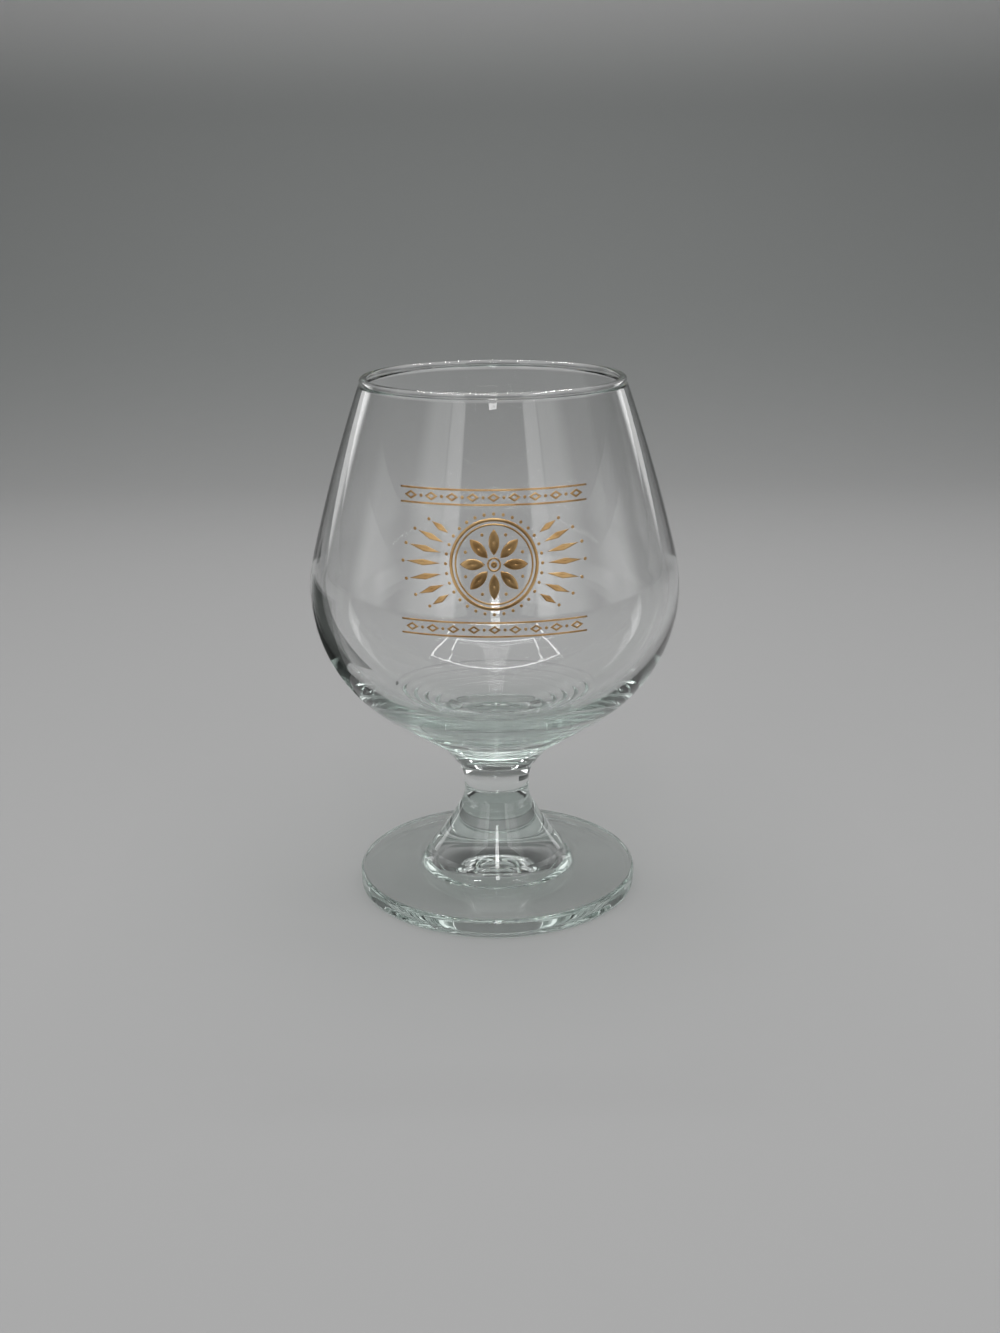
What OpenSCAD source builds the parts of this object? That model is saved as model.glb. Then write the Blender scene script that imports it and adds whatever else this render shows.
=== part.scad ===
// Cognac glass: a wide bowl that narrows to a beaded rim, on a short bell stem and a round foot.
// The glass is one piece. Its section is one outline turned about the upright axis.
// A thin gold print is fired on to the front of the bowl.
// The origin is the centre of the ring that the foot stands on, with +Z up and the print facing -Y.

/* [Overall] */
// Height from the table to the top of the rim
glass_h = 105; // [98:0.5:115]
// Radius of the foot
foot_r = 28.6; // [24:0.1:34]
// Radius outside at the widest part of the bowl
bowl_r = 36.5; // [33.5:0.1:41]
// Radius of the ridge along the top of the rim
rim_r = 24.9; // [21:0.1:27]

/* [Rim and wall] */
// Thickness of the rounded bead at the rim
bead_t = 1.4; // [1.4:0.1:2.2]
// Thickness of the wall just under the bead
wall_t = 1.1; // [0.9:0.05:1.3]
// Thickness of the wall at the widest part of the bowl
belly_t = 2.2; // [1.4:0.1:3]
// Radius of the faint bow of the upper wall
wall_arc = 330; // [150:10:900]

/* [Bowl] */
// Radius of the arc that rounds the belly outside, below its widest part
belly_arc = 30; // [26:0.5:32]
// Radius of the arc above the widest part, as a share of the height from there up to the rim
belly_share = 0.74; // [0.6:0.01:0.8]
// How much shorter the belly's inside arc is than the wall alone makes it, which thickens the base
belly_gain = 3; // [1:0.1:5]
// Turn below level at which the inside belly hands over to the rounded floor
floor_turn = 57; // [48:1:66]
// Slope of the bowl's lower cone, measured from upright
cone_angle = 55.5; // [50:0.5:60]
// Number of chill rings pressed into the lower cone
chill_rings = 4; // [1:1:7]
// Share of the cone that stays plain below the chill rings
chill_low = 0.17; // [0.03:0.01:0.3]
// Share of the cone that stays plain above the chill rings
chill_high = 0.07; // [0.03:0.01:0.3]
// Depth of a chill ring
chill_depth = 0.3; // [0.04:0.02:0.4]

/* [Neck and collar] */
// Radius of the neck at its waist
neck_r = 6.65; // [5.5:0.05:7.8]
// Height of the neck's waist above the table
waist_z = 21.6; // [20.8:0.1:24]
// Radius of the cove that sweeps from the waist out to the lower cone
cove_arc = 10.8; // [9:0.1:12.5]
// Height of the collar's lower edge above the waist
collar_rise = 5.4; // [4.4:0.1:6.2]
// How far the collar's lower edge stands out from the cove
collar_step = 0.4; // [0.2:0.05:0.6]
// Height of the rounded edge at the collar's foot
collar_edge = 0.32; // [0.2:0.02:0.5]
// Width of the bevel over that edge
collar_bevel = 0.12; // [0.06:0.02:0.3]

/* [Bell] */
// Height of the crease between neck and bell, below the waist
crease_drop = 1.2; // [0.6:0.1:2]
// Radius of the small cove under that crease
shoulder_arc = 6; // [4:0.5:9]
// Slope of the bell's side, measured from upright
bell_angle = 30; // [24:0.5:34]
// Radius of the lip round the bottom of the bell
lip_r = 13.6; // [12.5:0.1:15]
// Height of that lip above the table
lip_z = 8; // [7:0.1:9]
// How far the bell's side sags in from a straight line on its way to the lip
bell_sag = 0.3; // [0.1:0.05:0.6]
// Rounding of the lip
lip_round = 0.5; // [0.2:0.1:0.9]
// Radius at which the band under the lip reaches the foot
band_r = 14.6; // [14:0.1:17]
// Rounding between that band and the foot
band_fillet = 4; // [0.6:0.1:4.5]

/* [Foot] */
// Height of the foot's top at its edge
foot_t = 4; // [3.4:0.1:5]
// Slope of the foot's top, falling from the bell to the edge
foot_slope = 4; // [1:0.5:7]
// Rounding of the foot's upper edge
edge_round = 0.9; // [0.6:0.1:1.6]
// Rounding of the foot's lower edge
base_round = 1.0; // [0.5:0.1:1.6]
// Width of the flat ring that the foot stands on
rest_w = 0.8; // [0.6:0.1:3]
// Radius of the dome pressed up under the bell
dome_r = 11.5; // [9:0.1:13]
// Height of the foot's underside at the edge of that dome
dome_z = 1.5; // [0.6:0.1:2.2]
// Height of the dome at its middle
hollow_h = 5.5; // [3:0.1:7]

/* [Gold print] */
// Thickness of the gold
gold_t = 0.1; // [0.06:0.01:0.2]
// Height of the print's middle above the table
print_z = 76.2; // [72:0.1:82]
// Width of the print
print_w = 33; // [26:0.5:38]
// Distance between the middles of the two border rows
border_gap = 22.6; // [21:0.1:25]
// Distance between the two fine rules of a border row
border_h = 2.5; // [2:0.1:3]
// Width of the print's heavier lines
line_w = 0.55; // [0.3:0.05:0.7]
// Width of the print's fine lines
fine_w = 0.32; // [0.2:0.02:0.4]
// Radius of the small dots
dot_r = 0.28; // [0.2:0.02:0.36]
// Radius of the medallion's outer ring
medal_r = 7.6; // [6:0.1:8]
// Distance between the medallion's two rings
ring_gap = 0.8; // [0.6:0.05:1]
// Number of petals in the medallion
petals = 8; // [5:1:10]
// Width of a petal
petal_w = 1.9; // [1.2:0.1:2.4]
// Number of beads round the medallion
beads = 32; // [16:2:36]
// Number of rays on each side of the medallion
rays = 7; // [3:2:9]
// Width of a ray
ray_w = 1.1; // [0.6:0.05:1.3]
// Angle of the outermost ray
ray_fan = 33; // [20:1:36]
// Share by which the outermost ray is shorter than the middle one
ray_short = 0.42; // [0.2:0.02:0.6]
// Number of lozenges in a border row
lozenges = 9; // [5:2:11]
// Height of a lozenge
lozenge_h = 1.5; // [1:0.1:1.9]
// Length of a lozenge, as a share of its place in the row
lozenge_share = 0.62; // [0.4:0.02:0.7]

/* [Hidden] */
arc_step = 3;
wall_bands = 5;
ring_points = 8;
$fn = 64;

// Places that follow from the sizes above
bead_c = [rim_r, glass_h - bead_t / 2];
waist = [neck_r, waist_z];
cove_c = waist + [cove_arc, 0];
cone_foot = cove_c + cove_arc * [-cos(cone_angle), sin(cone_angle)];
belly_x = bowl_r - belly_arc;
cone_top_r = belly_x + belly_arc * cos(cone_angle);
cone_top = [cone_top_r, cone_foot[1] + (cone_top_r - cone_foot[0]) / tan(cone_angle)];
belly_c = [belly_x, cone_top[1] + belly_arc * sin(cone_angle)];
upper_arc = belly_share * (bead_c[1] - belly_c[1]);
upper_c = [bowl_r - upper_arc, belly_c[1]];
wall_c = circle_meet(upper_c, wall_arc - upper_arc, bead_c, wall_arc - wall_t / 2);
wall_low = bearing(upper_c - wall_c);
wall_high = bearing(bead_c - wall_c);
pinch = asin(wall_t / bead_t);
wall_stop = wall_high - bead_t / 2 * cos(pinch) / wall_arc * 180 / PI;
in_upper_arc = upper_arc - belly_t;
in_wall_c = circle_meet(upper_c, wall_arc - in_upper_arc, bead_c, wall_arc + wall_t / 2);
in_wall_low = bearing(upper_c - in_wall_c);
in_wall_high = bearing(bead_c - in_wall_c);
inner_arc = belly_arc - belly_t - belly_gain;
inner_c = [bowl_r - belly_t - inner_arc, belly_c[1]];
floor_c = [0, inner_c[1] + inner_c[0] * tan(floor_turn)];
floor_arc = inner_arc + inner_c[0] / cos(floor_turn);
crease = [neck_r, waist_z - crease_drop];
shoulder_end = crease + shoulder_arc * [1 - cos(bell_angle), -sin(bell_angle)];
lip = [lip_r, lip_z];
band_foot = [band_r, foot_t + (foot_r - edge_round - band_r) * tan(foot_slope)];
rest_in = foot_r - base_round - rest_w;
hub_r = 2 * dot_r;
tip_gap = 2 * dot_r;
bead_ring = medal_r + 1.2 * ring_gap;
fan_start = 2 * bead_ring - medal_r;

// A unit vector at an angle, and the angle of a vector
function ray(a) = [cos(a), sin(a)];
function bearing(v) = atan2(v[1], v[0]);

// Points along an arc, both ends included
function arc(c, r, a0, a1) =
    let (n = max(2, ceil(abs(a1 - a0) / arc_step)))
    [for (i = [0:n]) c + r * ray(a0 + (a1 - a0) * i / n)];

// The same points without the first, to carry on from a curve that ends there
function onward(points) = [for (i = [1:len(points) - 1]) points[i]];

// Where two circles meet, on the side nearer the axis
function circle_meet(c0, r0, c1, r1) =
    let (
        d = norm(c1 - c0),
        u = (c1 - c0) / d,
        along = (d * d + r0 * r0 - r1 * r1) / (2 * d),
        across = sqrt(r0 * r0 - along * along),
        p = c0 + along * u + across * [-u[1], u[0]],
        q = c0 + along * u - across * [-u[1], u[0]]
    )
    p[0] < q[0] ? p : q;

// Points along a curve that bows between two ends by a given amount, to the left of its travel
function bowed(a, b, bow, n = 8) =
    let (v = b - a, left = [-v[1], v[0]] / norm(v))
    [for (i = [0:n]) let (t = i / n) a + t * v + 4 * bow * t * (1 - t) * left];

// Points of the rounding that replaces the corner b between a and c, held to nine tenths of the shorter side
function rounded(a, b, c, wanted) =
    let (
        u = (a - b) / norm(a - b),
        v = (c - b) / norm(c - b),
        half = acos(u * v) / 2,
        reach = min(wanted / tan(half), 0.9 * norm(a - b), 0.9 * norm(c - b)),
        r = reach * tan(half),
        m = b + r / sin(half) * (u + v) / norm(u + v),
        s = b + reach * u,
        e = b + reach * v,
        a0 = bearing(s - m),
        turn = (bearing(e - m) - a0 + 540) % 360 - 180
    )
    arc(m, r, a0, a0 + turn);

// The foot, from the ring it stands on, round its edge and in to the band under the bell
function foot_side() =
    let (
        top_edge = [foot_r, foot_t - edge_round * tan(foot_slope)],
        corner = [foot_r, 0]
    )
    concat(
        [[rest_in, 0]],
        rounded([rest_in, 0], corner, top_edge, base_round),
        rounded(corner, top_edge, band_foot, edge_round),
        rounded(top_edge, band_foot, lip, band_fillet)
    );

// The bell, from its lip up to the crease under the neck
function bell_side() =
    let (side = bowed(lip, shoulder_end, bell_sag))
    concat(
        rounded(band_foot, lip, side[1], lip_round),
        [for (i = [2:len(side) - 2]) side[i]],
        arc(crease + [shoulder_arc, 0], shoulder_arc, 180 + bell_angle, 180)
    );

// The neck, its cove and the collar that stands out of the cove with a bevelled edge
function neck_side() =
    let (
        turn = asin(collar_rise / cove_arc),
        under = cove_c + cove_arc * ray(180 - turn),
        edge = under + [collar_step, collar_edge - 2 * collar_bevel]
    )
    concat(arc(cove_c, cove_arc, 180, 180 - turn), [edge, edge + collar_bevel * [1, 2]]);

// The lower cone, from the collar to the belly: its chill rings are shallow waves with sharp crests
function cone_side() =
    let (
        up = ray(90 - cone_angle),
        out = ray(-cone_angle),
        run = norm(cone_top - cone_foot),
        pitch = (1 - chill_low - chill_high) * run / chill_rings
    )
    concat(
        [cone_foot],
        [for (i = [0:chill_rings * ring_points])
            cone_foot + (chill_low * run + i * pitch / ring_points) * up
            - chill_depth * abs(sin(180 * i / ring_points)) * out]
    );

// The belly and the bowed wall, or a surface that lies a given distance outside them
function bowl_side(off = 0) =
    concat(
        arc(belly_c, belly_arc + off, -cone_angle, 0),
        onward(arc(upper_c, upper_arc + off, 0, wall_low)),
        [for (i = [1:wall_bands])
            wall_c + (wall_arc + off) * ray(wall_low + (wall_stop - wall_low) * i / wall_bands)]
    );

// The bead over the rim, round from the outside of the wall to its inside
function bead_side() = arc(bead_c, bead_t / 2, wall_high - 90 + pinch, in_wall_high + 270 - pinch);

// The inside, from the bead down the wall and belly to the middle of the floor
function inner_side() =
    concat(
        [for (i = [1:wall_bands])
            in_wall_c + wall_arc * ray(in_wall_high + (in_wall_low - in_wall_high) * i / wall_bands)],
        onward(arc(upper_c, in_upper_arc, in_wall_low, 0)),
        onward(arc(inner_c, inner_arc, 0, -floor_turn)),
        [for (p = onward(arc(floor_c, floor_arc, -floor_turn, -90))) [max(p[0], 0), p[1]]]
    );

// The underside: a dome under the bell, and a flat cone from its edge out to the ring that the foot stands on
function hollow_side() =
    let (rise = hollow_h - dome_z, r = (dome_r * dome_r + rise * rise) / (2 * rise), reach = asin(dome_r / r))
    [for (p = arc([0, hollow_h - r], r, 90, 90 - reach)) [max(p[0], 0), p[1]]];

module glass() {
    color([0.86, 0.91, 0.89, 0.4])
        rotate_extrude($fn = 180)
            polygon(concat(
                foot_side(), bell_side(), neck_side(), cone_side(),
                bowl_side(), bead_side(), inner_side(), hollow_side()));
}

// Flat motifs of the print, drawn in the plane of its width and height

module ring2d(r, w) {
    difference() {
        circle(r = r + w / 2);
        circle(r = r - w / 2);
    }
}

// A pointed leaf along X, where two circles overlap
module leaf2d(l, w) {
    r = (l * l / 4 + w * w / 4) / w;
    intersection() {
        translate([0, w / 2 - r]) circle(r = r);
        translate([0, r - w / 2]) circle(r = r);
    }
}

module lozenge2d(l, w) {
    polygon([[-l / 2, 0], [0, -w / 2], [l / 2, 0], [0, w / 2]]);
}

// The round medallion: two rings about a rosette of petals and dots, with a ring of beads outside
module medallion2d() {
    petal_in = 2 * ring_gap;
    petal_out = medal_r - 2 * ring_gap;
    ring2d(medal_r, line_w);
    ring2d(medal_r - ring_gap, fine_w);
    ring2d((petal_in + hub_r) / 2, fine_w);
    circle(r = hub_r);
    for (i = [0:petals - 1])
        rotate(90 + i * 360 / petals) {
            translate([(petal_in + petal_out) / 2, 0]) leaf2d(petal_out - petal_in, petal_w);
            rotate(180 / petals) translate([petal_out - tip_gap, 0]) circle(r = dot_r);
        }
    for (i = [0:beads - 1])
        rotate(i * 360 / beads)
            translate([bead_ring, 0])
                circle(r = dot_r);
}

// Rays that fan out to one side of the medallion, with a dot past each tip
module fan2d() {
    longest = print_w / 2 - fan_start - tip_gap - dot_r;
    for (i = [0:rays - 1]) {
        k = 2 * i / (rays - 1) - 1;
        tip = longest * (1 - ray_short * k * k);
        rotate(k * ray_fan)
            translate([fan_start, 0]) {
                translate([tip / 2, 0]) lozenge2d(tip, ray_w);
                translate([tip + tip_gap, 0]) circle(r = dot_r);
            }
    }
}

// A border row: outlined lozenges and dots between two fine rules
module border2d() {
    step = print_w / lozenges;
    length = lozenge_share * step;
    inner = length - 2 * fine_w * norm([length, lozenge_h]) / lozenge_h;
    for (s = [-1, 1])
        translate([0, s * border_h / 2])
            square([print_w, fine_w], center = true);
    for (i = [0:lozenges - 1])
        translate([(i + 0.5) * step - print_w / 2, 0])
            difference() {
                lozenge2d(length, lozenge_h);
                lozenge2d(inner, inner * lozenge_h / length);
            }
    for (i = [1:lozenges - 1])
        translate([i * step - print_w / 2, 0])
            circle(r = dot_r);
}

module print2d() {
    medallion2d();
    fan2d();
    mirror([1, 0]) fan2d();
    for (s = [-1, 1])
        translate([0, s * border_gap / 2])
            border2d();
}

// A thin skin of the gold's thickness over the belly and the wall
module print_skin() {
    over = bowl_side(gold_t);
    rotate_extrude($fn = 180)
        polygon(concat(bowl_side(), [for (i = [len(over) - 1:-1:0]) over[i]]));
}

module gold_print() {
    color([0.66, 0.5, 0.27])
        intersection() {
            print_skin();
            translate([0, 0, print_z])
                rotate([90, 0, 0])
                    linear_extrude(height = bowl_r + 2)
                        print2d();
        }
}

glass();
gold_print();
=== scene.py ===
"""Looks of a cognac glass: clear soda-lime glass with a beaded rim, and gold fired on to the bowl's front.

Sizes in the classes are millimetres, as on a drawing, and become metres when a mesh is made. +Z is up, the
print faces -Y, and the origin is the middle of the ring that the foot stands on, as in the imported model.
"""
import logging
import math
from dataclasses import dataclass
from enum import Enum
from typing import Any

import bpy
import numpy as np
from mathutils import Matrix


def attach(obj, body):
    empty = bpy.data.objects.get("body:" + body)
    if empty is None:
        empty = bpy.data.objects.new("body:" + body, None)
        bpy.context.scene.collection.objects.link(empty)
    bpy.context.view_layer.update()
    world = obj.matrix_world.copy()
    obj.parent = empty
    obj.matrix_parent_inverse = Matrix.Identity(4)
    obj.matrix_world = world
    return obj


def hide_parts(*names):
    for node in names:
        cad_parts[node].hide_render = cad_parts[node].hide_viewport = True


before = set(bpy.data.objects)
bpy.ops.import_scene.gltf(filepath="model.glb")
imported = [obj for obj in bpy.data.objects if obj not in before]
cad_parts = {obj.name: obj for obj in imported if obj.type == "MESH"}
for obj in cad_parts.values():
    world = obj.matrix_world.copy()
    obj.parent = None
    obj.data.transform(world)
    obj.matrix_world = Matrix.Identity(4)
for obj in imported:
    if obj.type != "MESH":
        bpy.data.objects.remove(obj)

LOG = logging.getLogger("cognac_glass")
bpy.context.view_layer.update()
MM = 0.001
Socket = bpy.types.NodeSocket
Colour = tuple[float, float, float, float]
Stops = tuple[tuple[float, float], ...]
WHITE: Colour = (1.0, 1.0, 1.0, 1.0)
STEP_TURN = 9.0  # the most degrees that one step of an arc turns
FILLET_SHARE = 0.9  # the most of a side that a rounding takes
SAME_POINT = 1e-4  # points nearer than this, in millimetres, are one
ON_AXIS = 1e-6  # a radius under this, in millimetres, is nought
SHRUNK = 0.02  # what is left of the inner line in a shape with no hole
STEEP = 0.99  # the upward share past which a lamp counts as pointing straight down


class Slot(Enum):
    """The record's material slots."""

    GLASS = "clear_glass"
    GOLD = "fired_gold"


class Node(Enum):
    """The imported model's nodes."""

    GLASS = "glass"
    PRINT = "gold_print"


# Plane curves, as arrays of points with one row each


def ray(degrees: float | np.ndarray) -> np.ndarray:
    """Unit vectors at the given angles: cosine, then sine."""
    a = np.radians(degrees)
    return np.stack([np.cos(a), np.sin(a)], axis=-1)


def bearing(v: np.ndarray) -> float:
    """The angle of a plane vector, in degrees."""
    return math.degrees(math.atan2(v[1], v[0]))


def line(a: np.ndarray, b: np.ndarray, pitch: float = 0.8) -> np.ndarray:
    """A straight run from a to b in equal steps of about a given pitch.

    Args:
        a: The first point.
        b: The last point.
        pitch: The longest step, in millimetres.

    Returns:
        The points, both ends included.
    """
    n = max(1, math.ceil(np.linalg.norm(b - a) / pitch))
    t = np.linspace(0.0, 1.0, n + 1)[:, None]
    return a + t * (b - a)


def arc(centre: np.ndarray, radius: float, start: float, end: float, pitch: float = 0.8) -> np.ndarray:
    """Points of a circle: its centre plus its radius times the unit vector at an angle that runs evenly.

    Args:
        centre: The circle's centre.
        radius: Its radius, in millimetres.
        start: The first angle, in degrees.
        end: The last angle, in degrees.
        pitch: The longest step, in millimetres. No step turns more than STEP_TURN degrees.

    Returns:
        The points, both ends included.
    """
    turn = abs(end - start)
    n = max(2, math.ceil(turn / STEP_TURN), math.ceil(math.radians(turn) * radius / pitch))
    return centre + radius * ray(np.linspace(start, end, n + 1))


def rounded(a: np.ndarray, b: np.ndarray, c: np.ndarray, radius: float) -> np.ndarray:
    """The rounding that replaces the corner b between a and c, held to a share of the shorter side.

    The circle's centre lies on the bisector at the radius over the sine of half the corner's angle, and the
    arc runs from the point where it touches the side b-a to the point where it touches b-c.

    Args:
        a: A point on the side before the corner.
        b: The corner.
        c: A point on the side after it.
        radius: The radius wanted, in millimetres.

    Returns:
        The arc's points.
    """
    u = (a - b) / np.linalg.norm(a - b)
    v = (c - b) / np.linalg.norm(c - b)
    half = math.acos(float(np.clip(u @ v, -1.0, 1.0))) / 2
    shorter = min(np.linalg.norm(a - b), np.linalg.norm(c - b))
    reach = min(radius / math.tan(half), FILLET_SHARE * shorter)
    radius = reach * math.tan(half)
    middle = b + radius / math.sin(half) * (u + v) / np.linalg.norm(u + v)
    start = bearing(b + reach * u - middle)
    turn = (bearing(b + reach * v - middle) - start + 540.0) % 360.0 - 180.0
    return arc(middle, radius, start, start + turn)


def joined(*runs: np.ndarray) -> np.ndarray:
    """Runs of points set end to end, without the points that repeat.

    Args:
        runs: The runs, in order.

    Returns:
        The points of all the runs.
    """
    points = np.concatenate(runs)
    step = np.linalg.norm(np.diff(points, axis=0), axis=1)
    return points[np.concatenate([[True], step > SAME_POINT])]


# Meshes


def new_mesh_object(
    name: str, points: np.ndarray, quads: np.ndarray, triangles: np.ndarray | None = None
) -> bpy.types.Object:
    """A smooth mesh object at the origin from whole arrays.

    Args:
        name: The piece's name.
        points: Corners in metres, one row each.
        quads: Four corner numbers a row, or an empty array.
        triangles: Three corner numbers a row, or None.

    Returns:
        The new object, linked to the scene.
    """
    threes = np.zeros((0, 3), int) if triangles is None else triangles
    mesh = bpy.data.meshes.new(name)
    mesh.vertices.add(len(points))
    mesh.vertices.foreach_set("co", points.astype(np.float32).ravel())
    mesh.loops.add(quads.size + threes.size)
    corners = np.concatenate([quads.ravel(), threes.ravel()])
    mesh.loops.foreach_set("vertex_index", corners.astype(np.int32))
    sizes = np.concatenate([np.full(len(quads), 4), np.full(len(threes), 3)])
    starts = np.concatenate([[0], np.cumsum(sizes)[:-1]])
    mesh.polygons.add(len(sizes))
    mesh.polygons.foreach_set("loop_start", starts.astype(np.int32))
    mesh.update(calc_edges=True)
    mesh.validate()
    mesh.shade_smooth()
    piece = bpy.data.objects.new(name, mesh)
    bpy.context.scene.collection.objects.link(piece)
    return piece


def ring_quads(rows: int, columns: int, wrap_rows: bool = False) -> np.ndarray:
    """Quads of a grid whose columns close on themselves.

    Args:
        rows: The number of rows of points.
        columns: The number of points in each row.
        wrap_rows: True if the last row joins the first.

    Returns:
        Four corner numbers a row, numbered row by row.
    """
    i, j = np.meshgrid(np.arange(rows if wrap_rows else rows - 1), np.arange(columns), indexing="ij")
    k, m = (i + 1) % rows, (j + 1) % columns
    corners = [i * columns + j, i * columns + m, k * columns + m, k * columns + j]
    return np.stack(corners, axis=-1).reshape(-1, 4)


# Shader trees


class Value:
    """A number in a shader tree that Python's operators add Math nodes to."""

    def __init__(self, tree: "ShaderTree", socket: Socket) -> None:
        """Keeps the tree and the socket that gives the number."""
        self.tree, self.socket = tree, socket

    def maths(self, operation: str, *others: "Value | float") -> "Value":
        """This value and others through a Math node with the given operation."""
        sockets = dict(enumerate([self, *others]))
        return self.tree.value("ShaderNodeMath", {"operation": operation}, sockets)

    def __add__(self, other: "Value | float") -> "Value":
        """The sum."""
        return self.maths("ADD", other)

    __radd__ = __add__

    def __mul__(self, other: "Value | float") -> "Value":
        """The product."""
        return self.maths("MULTIPLY", other)

    __rmul__ = __mul__

    def __sub__(self, other: "Value | float") -> "Value":
        """The difference."""
        return self.maths("SUBTRACT", other)

    def __rsub__(self, other: float) -> "Value":
        """The difference, with this value taken from a number."""
        return (self * -1.0) + other

    def smooth(self, low: float, high: float) -> "Value":
        """Nought below low, one above high, and a smooth step between them.

        Args:
            low: The value at which the step starts.
            high: The value at which it ends.

        Returns:
            The step's value.
        """
        settings = {"interpolation_type": "SMOOTHSTEP"}
        sockets = {"Value": self, "From Min": low, "From Max": high}
        return self.tree.value("ShaderNodeMapRange", settings, sockets)


class ShaderTree:
    """The node tree of one material, filled through a single method."""

    def __init__(self, name: str) -> None:
        """Makes a material of a given name that holds only an output node."""
        self.material = bpy.data.materials.new(name)
        self.material.use_nodes = True
        self.tree = self.material.node_tree
        self.tree.nodes.clear()
        self.output = self.tree.nodes.new("ShaderNodeOutputMaterial")

    def node(self, kind: str, settings: dict[str, Any] | None = None, sockets: dict | None = None) -> Any:
        """Adds one node.

        Args:
            kind: The node's type.
            settings: Properties, which are set first. A list under "stops" sets a colour ramp.
            sockets: A value or a link for each input, by its name, identifier or number.

        Returns:
            The new node.
        """
        node = self.tree.nodes.new(kind)
        for key, setting in (settings or {}).items():
            if key == "stops":
                self.set_stops(node, setting)
            else:
                setattr(node, key, setting)
        for key, given in (sockets or {}).items():
            target = self.find(node, key)
            source = given.socket if isinstance(given, Value) else given
            if isinstance(source, Socket):
                self.tree.links.new(source, target)
            else:
                target.default_value = source
        return node

    @staticmethod
    def set_stops(node: Any, stops: list[tuple[float, tuple]]) -> None:
        """Gives a colour ramp its stops, each a place and a colour.

        Args:
            node: The colour ramp's node.
            stops: Places from nought to one, each with its colour.
        """
        ramp = node.color_ramp
        while len(ramp.elements) < len(stops):
            ramp.elements.new(0.5)
        for element, (place, colour) in zip(ramp.elements, stops):
            element.position, element.color = place, colour

    @staticmethod
    def find(node: Any, key: str | int) -> Socket:
        """The input with a given identifier, name or number.

        Args:
            node: The node.
            key: The input's identifier, name or number.

        Returns:
            The input's socket.
        """
        if isinstance(key, int):
            return node.inputs[key]
        return next((s for s in node.inputs if s.identifier == key), None) or node.inputs[key]

    def value(self, kind: str, settings: dict | None = None, sockets: dict | None = None) -> Value:
        """Adds a node and wraps its first output as a Value."""
        return Value(self, self.node(kind, settings, sockets).outputs[0])

    def place(self) -> Socket:
        """Object coordinates, in metres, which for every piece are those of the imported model."""
        return self.node("ShaderNodeTexCoord").outputs["Object"]

    def noise(self, scale: float, detail: float) -> Value:
        """Soft noise from nought to one, with a given number of lumps to the metre."""
        sockets = {"Vector": self.place(), "Scale": scale, "Detail": detail}
        return self.value("ShaderNodeTexNoise", None, sockets)

    def mix(self, share: "Value | float", a: Any, b: Any) -> Socket:
        """Colour a where the share is nought and colour b where it is one."""
        sockets = {"Factor_Float": share, "A_Color": a, "B_Color": b}
        return self.node("ShaderNodeMix", {"data_type": "RGBA"}, sockets).outputs[2]

    def bump(self, height: Value, depth: float) -> Socket:
        """A normal bent by a height from nought to one that stands for a depth in metres."""
        sockets = {"Height": height, "Distance": depth, "Strength": 1.0}
        return self.node("ShaderNodeBump", None, sockets).outputs[0]

    def finish(self, surface: Socket, volume: Socket | None = None) -> bpy.types.Material:
        """Links the output and gives the material.

        Args:
            surface: The surface's shader.
            volume: The shader of what is inside, or None.

        Returns:
            The finished material.
        """
        self.tree.links.new(surface, self.output.inputs["Surface"])
        if volume is not None:
            self.tree.links.new(volume, self.output.inputs["Volume"])
        return self.material


@dataclass(frozen=True)
class ClearGlass:
    """Soda-lime glass: nearly clear in a thin wall, grey-green where thick, with faint waves and smears."""

    ior: float = 1.517
    tint: Colour = (0.72, 0.90, 0.83, 1.0)
    density: float = 10.0
    shadow: Colour = (0.905, 0.915, 0.91, 1.0)
    wave_scale: float = 55.0
    wave: float = 0.00002
    smear_scale: float = 38.0
    smear_from: float = 0.52
    smear_to: float = 0.8
    smear: float = 0.02

    def material(self) -> bpy.types.Material:
        """Builds the shader: refracting glass that absorbs inside and lets lamplight on to the floor.

        Returns:
            The material.
        """
        tree = ShaderTree("clear_glass")
        waves = tree.noise(self.wave_scale, 1.0)
        smears = tree.noise(self.smear_scale, 4.0).smooth(self.smear_from, self.smear_to)
        glass = tree.node("ShaderNodeBsdfPrincipled", None, {
            "Base Color": WHITE,
            "Roughness": smears * self.smear,
            "IOR": self.ior,
            "Transmission Weight": 1.0,
            "Normal": tree.bump(waves, self.wave),
        })
        lamp_ray = tree.node("ShaderNodeLightPath").outputs["Is Shadow Ray"]
        through = tree.node("ShaderNodeBsdfTransparent", None, {"Color": self.shadow})
        parts = {0: lamp_ray, 1: glass.outputs[0], 2: through.outputs[0]}
        surface = tree.node("ShaderNodeMixShader", None, parts)
        body = {"Color": self.tint, "Density": self.density}
        inside = tree.node("ShaderNodeVolumeAbsorption", None, body)
        return tree.finish(surface.outputs[0], inside.outputs[0])


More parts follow.
